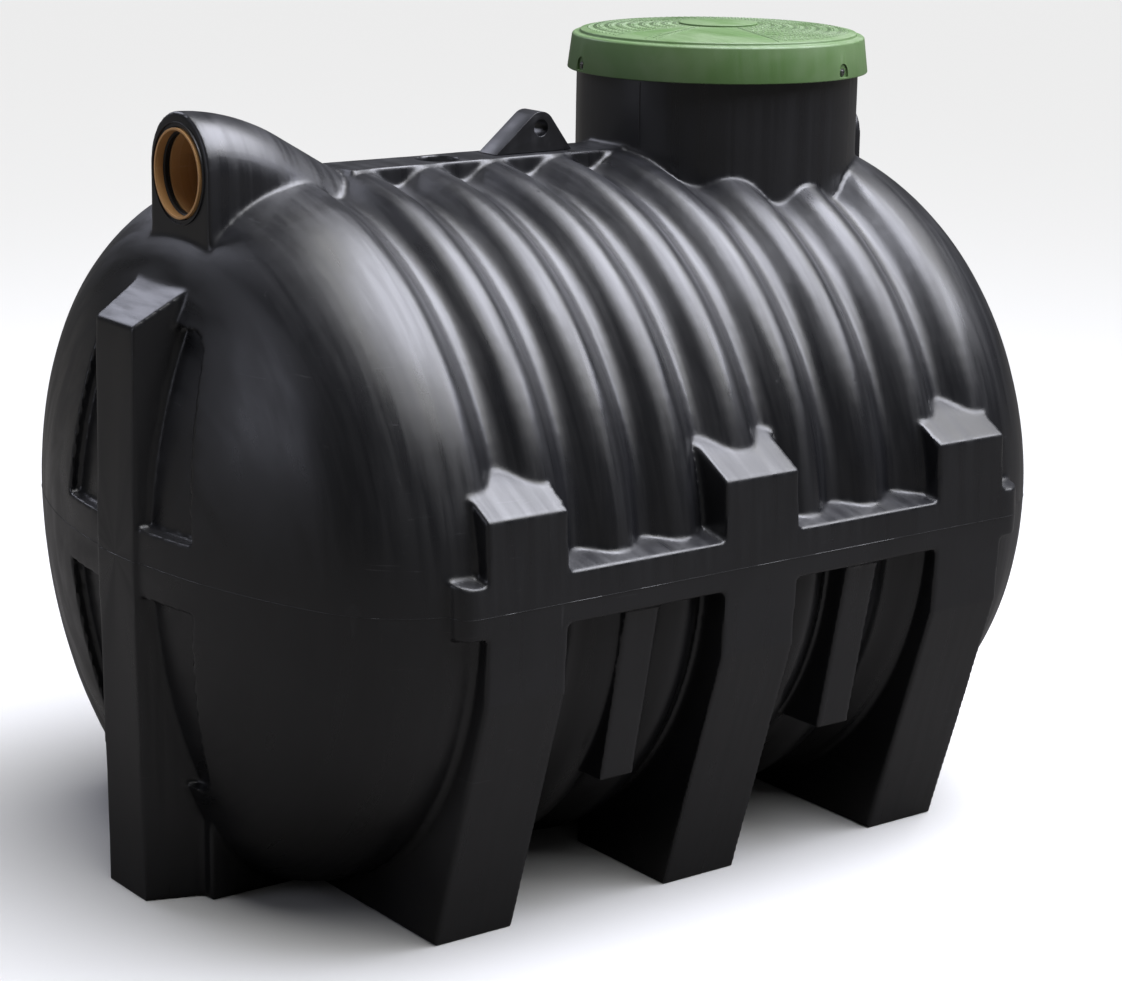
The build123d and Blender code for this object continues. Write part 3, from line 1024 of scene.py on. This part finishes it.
@dataclass
class ManholeLid:
    """The lid: a crowned plate in a ring, a flared skirt, raised studs, a hub and screws in pockets.

    Attributes:
        plate: The plate's thickness.
        wall: The skirt's wall.
        skirt: The skirt's height.
        flare: How far the skirt flares out.
        ledge: The width of the flat ring round the crown.
        riser: The height of the step from the ring up to the crown.
        riser_lean: How far the step leans.
        edge_width: The width of the slope between the ring and the skirt.
        edge_drop: The drop of that slope.
        shoulder_radius: Where the crown starts to fall faster to the ring.
        shoulder_rise: The crown's rise there.
        crown_rise: The crown's rise in the middle.
        softness: The radius of the lid's edges.
        hub_softness: The radius of the hub's edges.
        screw_angles: Where the screws sit, in degrees from +X.
    """

    plate: float = 0.006
    wall: float = 0.005
    skirt: float = 0.078
    flare: float = 0.0095
    ledge: float = 0.0175
    riser: float = 0.0065
    riser_lean: float = 0.0010
    edge_width: float = 0.0045
    edge_drop: float = 0.0035
    shoulder_radius: float = 0.270
    shoulder_rise: float = 0.011
    crown_rise: float = 0.020
    softness: float = 0.0022
    hub_softness: float = 0.0012
    screw_angles: tuple[float, ...] = (45.9, 165.9, 285.9)

    def __post_init__(self) -> None:
        """Reads the lid's place and radius from its CAD nodes."""
        low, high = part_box("manhole_lid")
        self.skirt_radius = (high.x - low.x) / 2
        self.top_radius = self.skirt_radius - self.flare
        self.crown_edge = self.top_radius - self.ledge
        self.foot = low.z
        self.rim_level = low.z + self.skirt
        self.axis = Vector(((low.x + high.x) / 2, (low.y + high.y) / 2, 0))
        hub_low, hub_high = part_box("lid_hub")
        self.hub_radius = (hub_high.x - hub_low.x) / 2
        self.hub_top = hub_high.z

    def crown(self) -> list[tuple[float, float]]:
        """Outlines the crown from the middle outward.

        Returns:
            Points of radius and height.
        """
        return [
            (0.0, self.rim_level + self.crown_rise),
            (self.hub_radius, self.rim_level + self.crown_rise),
            (self.shoulder_radius, self.rim_level + self.shoulder_rise),
            (self.crown_edge, self.rim_level + self.riser),
        ]

    def on_crown(self, radius: float, angle: float) -> Matrix:
        """Makes a frame on the crown.

        Args:
            radius: The distance from the lid's axis.
            angle: The direction in degrees from +X.

        Returns:
            The frame: X down the crown's slope, Z off its face.
        """
        outline = self.crown()
        for (near, high), (far, low) in zip(outline, outline[1:]):
            if radius <= far:
                break
        slope = (high - low) / (far - near)
        level = high - slope * (radius - near)
        turn = Matrix.Rotation(math.radians(angle), 4, "Z")
        tilt = Matrix.Rotation(math.atan(slope), 4, "Y")
        return Matrix.Translation(self.axis) @ turn @ Matrix.Translation((radius, 0, level)) @ tilt

    def skirt_at(self, rise: float) -> float:
        """Returns the skirt's outer radius at a height over its foot."""
        return self.skirt_radius - self.flare * rise / self.skirt

    def shell(self) -> BMesh:
        """Spins the lid's plate and skirt.

        Returns:
            The bmesh of the closed shell.
        """
        crown = self.crown()
        seat = self.rim_level - self.plate
        rim = [
            (self.crown_edge + self.riser_lean, self.rim_level),
            (self.top_radius - self.edge_width, self.rim_level),
            (self.top_radius, self.rim_level - self.edge_drop),
            (self.skirt_radius, self.foot),
            (self.skirt_radius - self.wall, self.foot),
            (self.top_radius - self.wall, seat),
            (self.crown_edge - self.plate, seat),
        ]
        under = [(radius, level - self.plate) for radius, level in reversed(crown[:-1])]
        outline = [(level, radius) for radius, level in crown + rim + under]
        bm = turned(outline, self.axis, Vector((0, 0, 1)), 144)
        level_edges = [edge for edge in bm.edges if abs(edge.verts[0].co.z - edge.verts[1].co.z) < 1e-6]
        sharp = [edge for edge in level_edges if edge.calc_face_angle(0) > math.radians(12)]
        soften(bm, sharp, self.softness)
        return bm

    def build(self, plastic: Material, steel: Material) -> None:
        """Builds the lid, its hub, studs and screws.

        Args:
            plastic: The green plastic.
            steel: The screws' steel.
        """
        lid = mesh_object(self.shell(), "lid_shell")
        screws = LidScrews(self)
        screws.cut_pockets(lid)
        finish_piece(lid, 35, Body.LID, plastic, ("manhole_lid",))
        hub = bmesh.new()
        top = Vector((self.axis.x, self.axis.y, self.hub_top))
        foot = Vector((self.axis.x, self.axis.y, self.rim_level + self.crown_rise))
        round_bar(hub, self.hub_radius, foot, top, 96)
        soften(hub, sharp_edges(hub, 60), self.hub_softness)
        disc = mesh_object(hub, "lid_hub_disc")
        finish_piece(disc, 35, Body.LID, plastic, ("lid_hub",))
        LidStuds(self).build(plastic)
        screws.build(steel)


@dataclass
class LidStuds:
    """The lid's raised pattern: rows of leaning ticks, plain sectors and the ridges between them.

    Attributes:
        lid: The lid that it lies on.
        length: A tick's length.
        width: A tick's width.
        rise: How far a tick stands up.
        lean: How far a tick leans from the way out, the other way in every second row.
        row_pitch: The distance between rows.
        spacing: The distance between ticks in a row.
        margin: The bare width beside the hub and beside the crown's edge.
        plain_sectors: The bare sectors, in degrees from +X.
        ridge_angles: Where thin ridges run outward.
        dotted_angles: Where rows of dots run outward.
        sunk: How far everything is sunk into the crown.
    """

    lid: ManholeLid
    length: float = 0.0125
    width: float = 0.0040
    rise: float = 0.0013
    lean: float = 42.0
    row_pitch: float = 0.0125
    spacing: float = 0.0150
    margin: float = 0.010
    plain_sectors: tuple[tuple[float, float], ...] = ((182.0, 256.0),)
    ridge_angles: tuple[float, ...] = (182.0, 198.5, 204.0, 256.0)
    dotted_angles: tuple[float, ...] = (201.2, 258.5)
    sunk: float = 0.001

    def tick(self, bm: BMesh, place: Matrix, length: float, width: float) -> None:
        """Adds one tick with sloping sides.

        Args:
            bm: The bmesh that it is added to.
            place: Its frame on the crown.
            length: Its length along X.
            width: Its width along Y.
        """
        slant = width * 0.22
        corners = []
        for level, inset in ((-self.sunk, 0.0), (self.rise, slant)):
            x, y = length / 2 - inset, width / 2 - inset
            around = ((-x, -y), (x, -y), (x, y), (-x, y))
            corners += [bm.verts.new(place @ Vector((along, across, level))) for along, across in around]
        bm.faces.new([corners[i] for i in (3, 2, 1, 0)])
        bm.faces.new(corners[4:])
        for i in range(4):
            j = (i + 1) % 4
            bm.faces.new((corners[i], corners[j], corners[j + 4], corners[i + 4]))

    def build(self, material: Material) -> None:
        """Builds the pattern as one piece.

        Args:
            material: The green plastic.
        """
        lid = self.lid
        bm = bmesh.new()
        inner, outer = lid.hub_radius + self.margin, lid.crown_edge - self.margin
        rows = int((outer - inner) / self.row_pitch)
        for row in range(rows + 1):
            radius = inner + row * self.row_pitch
            count = round(math.tau * radius / self.spacing)
            lean = Matrix.Rotation(math.radians(self.lean if row % 2 else -self.lean), 4, "Z")
            for i in range(count):
                angle = 360.0 * i / count
                if not any(low - 2 < angle < high + 4 for low, high in self.plain_sectors):
                    self.tick(bm, lid.on_crown(radius, angle) @ lean, self.length, self.width)
        for angle in self.ridge_angles:
            for near, far in ((inner, lid.shoulder_radius), (lid.shoulder_radius, outer)):
                self.tick(bm, lid.on_crown((near + far) / 2, angle), far - near, self.width / 2)
        for angle in self.dotted_angles:
            for row in range(2 * rows):
                radius = inner + (row + 0.5) * self.row_pitch / 2
                self.tick(bm, lid.on_crown(radius, angle), self.width * 0.7, self.width * 0.7)
        studs = mesh_object(bm, "lid_studs")
        finish_piece(studs, 30, Body.LID, material)


@dataclass
class LidScrews:
    """The arched pockets in the skirt and the pan-head screws in them.

    Attributes:
        lid: The lid.
        half_width: Half a pocket's width.
        height: A pocket's height.
        foot: How far a pocket starts over the skirt's foot.
        floor_radius: Where a pocket's floor lies, from the lid's axis.
        boss_radius: The inner face of the boss behind it, clear of the neck.
        boss_half: Half the boss's width.
        boss_foot: The boss's foot over the skirt's foot.
        boss_top: The boss's top over the skirt's foot.
        head_radius: A screw head's radius.
        head_height: A screw head's height.
        head_sunk: How far a screw head reaches into the pocket's floor.
        washer: The thickness of the collar under a screw head.
        screw_rise: How far a screw sits over the skirt's foot.
    """

    lid: ManholeLid
    half_width: float = 0.017
    height: float = 0.029
    foot: float = 0.005
    floor_radius: float = 0.3260
    boss_radius: float = 0.3185
    boss_half: float = 0.023
    boss_foot: float = 0.001
    boss_top: float = 0.044
    head_radius: float = 0.0065
    head_height: float = 0.0038
    head_sunk: float = 0.001
    washer: float = 0.0008
    screw_rise: float = 0.015

    def frames(self) -> list[Matrix]:
        """Places a frame per screw at the skirt's foot.

        Returns:
            The frames: X outward, Z up.
        """
        lid = self.lid
        base = Matrix.Translation(lid.axis + Vector((0, 0, lid.foot)))
        return [base @ Matrix.Rotation(math.radians(angle), 4, "Z") for angle in lid.screw_angles]

    def bosses(self) -> Object:
        """Makes the bosses behind the pockets, their outer faces inside the skirt's wall.

        Returns:
            The bosses.
        """
        bm = bmesh.new()
        for frame_at in self.frames():
            block(bm, Vector((0, 0, 0)), Vector((1, 1, 1)))
            bm.verts.ensure_lookup_table()
            for vert in bm.verts[-8:]:
                level = self.boss_top if vert.co.z > 0.5 else self.boss_foot
                across = self.boss_half if vert.co.y > 0.5 else -self.boss_half
                out = self.lid.skirt_at(level) - self.lid.wall / 2 if vert.co.x > 0.5 else self.boss_radius
                vert.co = frame_at @ Vector((out, across, level))
        return mesh_object(bm, "bosses")

    def cutters(self) -> Object:
        """Makes the arched cutters of the pockets.

        Returns:
            The cutters.
        """
        bm = bmesh.new()
        arch = [(self.half_width, self.foot)]
        spring = self.foot + self.height - self.half_width
        for step in range(13):
            turn = math.pi * step / 12
            arch.append((self.half_width * math.cos(turn), spring + self.half_width * math.sin(turn)))
        arch.append((-self.half_width, self.foot))
        for frame_at in self.frames():
            rings = []
            for out in (self.floor_radius, self.lid.skirt_radius + 0.01):
                spots = [frame_at @ Vector((out, across, level)) for across, level in arch]
                rings.append([bm.verts.new(spot) for spot in spots])
            bm.faces.new(rings[0])
            bm.faces.new(rings[1])
            for i in range(len(arch)):
                bm.faces.new((rings[0][i - 1], rings[0][i], rings[1][i], rings[1][i - 1]))
        bmesh.ops.recalc_face_normals(bm, faces=bm.faces)
        return mesh_object(bm, "pockets")

    def cut_pockets(self, lid_shell: Object) -> None:
        """Adds the bosses to the lid's shell and cuts the pockets.

        Args:
            lid_shell: The lid's closed shell.
        """
        helpers = ((self.bosses(), "UNION"), (self.cutters(), "DIFFERENCE"))
        carve(lid_shell, helpers)
        for helper, _ in helpers:
            discard(helper)

    def build(self, steel: Material) -> None:
        """Builds the screw heads as one piece.

        Args:
            steel: Their metal.
        """
        gathered = bmesh.new()
        outline = [
            (-self.head_sunk, 0.0),
            (-self.head_sunk, self.head_radius * 1.3),
            (self.washer, self.head_radius * 1.3),
            (self.washer, self.head_radius),
            (self.head_height * 0.7, self.head_radius * 0.93),
            (self.head_height, self.head_radius * 0.55),
            (self.head_height, self.head_radius * 0.34),
            (self.head_height * 0.5, self.head_radius * 0.22),
            (self.head_height * 0.5, 0.0),
        ]
        for frame_at in self.frames():
            place = frame_at @ Vector((self.floor_radius, 0, self.screw_rise))
            axis = (frame_at.to_3x3() @ Vector((1, 0, 0))).normalized()
            head = bpy.data.meshes.new("head")
            bm = turned(outline, place, axis, 24)
            bm.to_mesh(head)
            bm.free()
            gathered.from_mesh(head)
            bpy.data.meshes.remove(head)
        screws = mesh_object(gathered, "lid_screws")
        finish_piece(screws, 35, Body.LID, steel)


@dataclass(frozen=True)
class Softbox:
    """A soft rectangular light: its name, place, width and height in metres, and power in watts."""

    name: str
    place: tuple[float, float, float]
    size: tuple[float, float]
    power: float

    def build(self, target: Vector, colour: tuple[float, float, float]) -> None:
        """Hangs the light so that it faces a point.

        Args:
            target: The point.
            colour: The light's colour.
        """
        data = bpy.data.lights.new(self.name, "AREA")
        data.shape = "RECTANGLE"
        data.size, data.size_y = self.size
        data.energy = self.power
        data.color = colour
        light = bpy.data.objects.new(self.name, data)
        bpy.context.scene.collection.objects.link(light)
        place = Vector(self.place)
        light.rotation_euler = (target - place).to_track_quat("-Z", "Y").to_euler()
        light.location = place


SOFTBOXES = (
    Softbox("overhead", (1.0, -0.9, 4.8), (3.6, 2.6), 215),
    Softbox("upper right", (3.3, -2.5, 4.4), (2.6, 2.2), 85),
    Softbox("behind", (-1.4, 4.0, 3.9), (3.0, 2.0), 60),
    Softbox("left side", (-5.5, 1.5, 2.6), (2.5, 3.0), 25),
)


@dataclass(frozen=True)
class Studio:
    """A plain pale floor and soft light from above.

    Attributes:
        floor_reach: Half the floor's width in metres.
        floor_colour: The floor's colour.
        ground_colour: The darker floor that the tank reflects.
        background: The light that the camera sees behind the floor.
        surround: The light that the object gets from all round.
        sun_strength: The strength of the wide light that falls evenly on the floor.
        sun_angle: How wide it is, in degrees.
        sun_run: The way that its light goes.
        aim: The point that the area lights face.
        light_colour: The area lights' slightly cool colour.
    """

    floor_reach: float = 60.0
    floor_colour: tuple[float, float, float] = (0.68, 0.68, 0.68)
    ground_colour: tuple[float, float, float] = (0.115, 0.11, 0.105)
    background: float = 0.86
    surround: float = 0.08
    sun_strength: float = 4.1
    sun_angle: float = 74.0
    sun_run: tuple[float, float, float] = (-0.35, 0.25, -1)
    aim: tuple[float, float, float] = (0, 0, 0.9)
    light_colour: tuple[float, float, float] = (0.83, 0.85, 1.0)

    def floor(self) -> None:
        """Makes the floor."""
        bm = bmesh.new()
        bmesh.ops.create_grid(bm, x_segments=1, y_segments=1, size=self.floor_reach)
        floor = mesh_object(bm, "floor")
        material = bpy.data.materials.new("pale floor")
        material.use_nodes = True
        shader = material.node_tree.nodes["Principled BSDF"]
        tree = Tree(material.node_tree)
        path = tree.add("ShaderNodeLightPath")
        shown = tree.blend(path.outputs["Is Camera Ray"], (*self.ground_colour, 1), (*self.floor_colour, 1))
        tree.join(shown, shader.inputs["Base Color"])
        shader.inputs["Roughness"].default_value = 0.9
        shader.inputs["Specular IOR Level"].default_value = 0.2
        floor.data.materials.append(material)

    def world(self) -> None:
        """Makes the surrounding light, brighter where the camera sees it."""
        world = bpy.data.worlds.new("studio")
        bpy.context.scene.world = world
        world.use_nodes = True
        tree = Tree(world.node_tree)
        output = world.node_tree.nodes["World Output"]
        seen = world.node_tree.nodes["Background"]
        seen.inputs["Color"].default_value = (1, 1, 1, 1)
        seen.inputs["Strength"].default_value = self.background
        around = tree.add("ShaderNodeBackground")
        around.inputs["Strength"].default_value = self.surround
        path = tree.add("ShaderNodeLightPath")
        mix = tree.add("ShaderNodeMixShader")
        tree.join(path.outputs["Is Camera Ray"], mix.inputs[0])
        tree.join(around.outputs[0], mix.inputs[1])
        tree.join(seen.outputs[0], mix.inputs[2])
        tree.join(mix.outputs[0], output.inputs[0])

    def build(self) -> None:
        """Makes the floor, the surround and the lights."""
        self.floor()
        self.world()
        sun = bpy.data.lights.new("wide light", "SUN")
        sun.energy = self.sun_strength
        sun.angle = math.radians(self.sun_angle)
        wide = bpy.data.objects.new("wide light", sun)
        bpy.context.scene.collection.objects.link(wide)
        wide.rotation_euler = Vector(self.sun_run).to_track_quat("-Z", "Y").to_euler()
        for softbox in SOFTBOXES:
            softbox.build(Vector(self.aim), self.light_colour)
        scene = bpy.context.scene
        scene.view_settings.view_transform = "Standard"
        scene.view_settings.look = "None"


@dataclass(frozen=True)
class ViewCamera:
    """The camera at the photograph's viewing angle.

    Attributes:
        place: Its position in metres.
        yaw: Its turn to the right of +Y in degrees.
        pitch: Its downward tilt in degrees.
        roll: Its roll in degrees.
        focal: Its focal length in the photograph's pixels.
        centre_x: The pixel that the lens points at, across.
        centre_y: The pixel that the lens points at, down.
    """

    place: tuple[float, float, float] = (-3.6526, -4.9598, 2.2730)
    yaw: float = 36.56339
    pitch: float = 14.01977
    roll: float = 0.83141
    focal: float = 2887.24
    centre_x: float = 543.70
    centre_y: float = 477.44

    def build(self) -> None:
        """Creates the camera and makes it the scene's own."""
        data = bpy.data.cameras.new("camera")
        data.sensor_width = 36.0
        data.lens = self.focal * data.sensor_width / PHOTO_WIDTH
        data.shift_x = (PHOTO_WIDTH / 2 - self.centre_x) / PHOTO_WIDTH
        data.shift_y = (self.centre_y - PHOTO_HEIGHT / 2) / PHOTO_WIDTH
        camera = bpy.data.objects.new("camera", data)
        bpy.context.scene.collection.objects.link(camera)
        yaw, pitch, roll = (math.radians(angle) for angle in (self.yaw, self.pitch, self.roll))
        forward = Vector((math.sin(yaw) * math.cos(pitch), math.cos(yaw) * math.cos(pitch), -math.sin(pitch)))
        level_right = Vector((math.cos(yaw), -math.sin(yaw), 0))
        level_up = level_right.cross(forward)
        right = level_right * math.cos(roll) + level_up * math.sin(roll)
        up = level_up * math.cos(roll) - level_right * math.sin(roll)
        turn = Matrix((right, up, -forward)).transposed()
        camera.matrix_world = Matrix.Translation(self.place) @ turn.to_4x4()
        bpy.context.scene.camera = camera


def main() -> None:
    """Builds the camera, the light and every piece."""
    logging.basicConfig(level=logging.INFO, format="%(name)s: %(message)s")
    ViewCamera().build()
    Studio().build()
    effects = Effects()
    finishes = (BLACK, GREEN, TAN, RUBBER, STEEL)
    black, green, tan, rubber, steel = (finish.build(effects) for finish in finishes)
    Moulding().build(black)
    for pipe in (INLET, OUTLET):
        PipeSocket(pipe).build(tan, rubber)
    SmallMarks().build(black)
    LiftingLug().build(black)
    ManholeLid().build(green, steel)


if __name__ == "__main__":
    main()
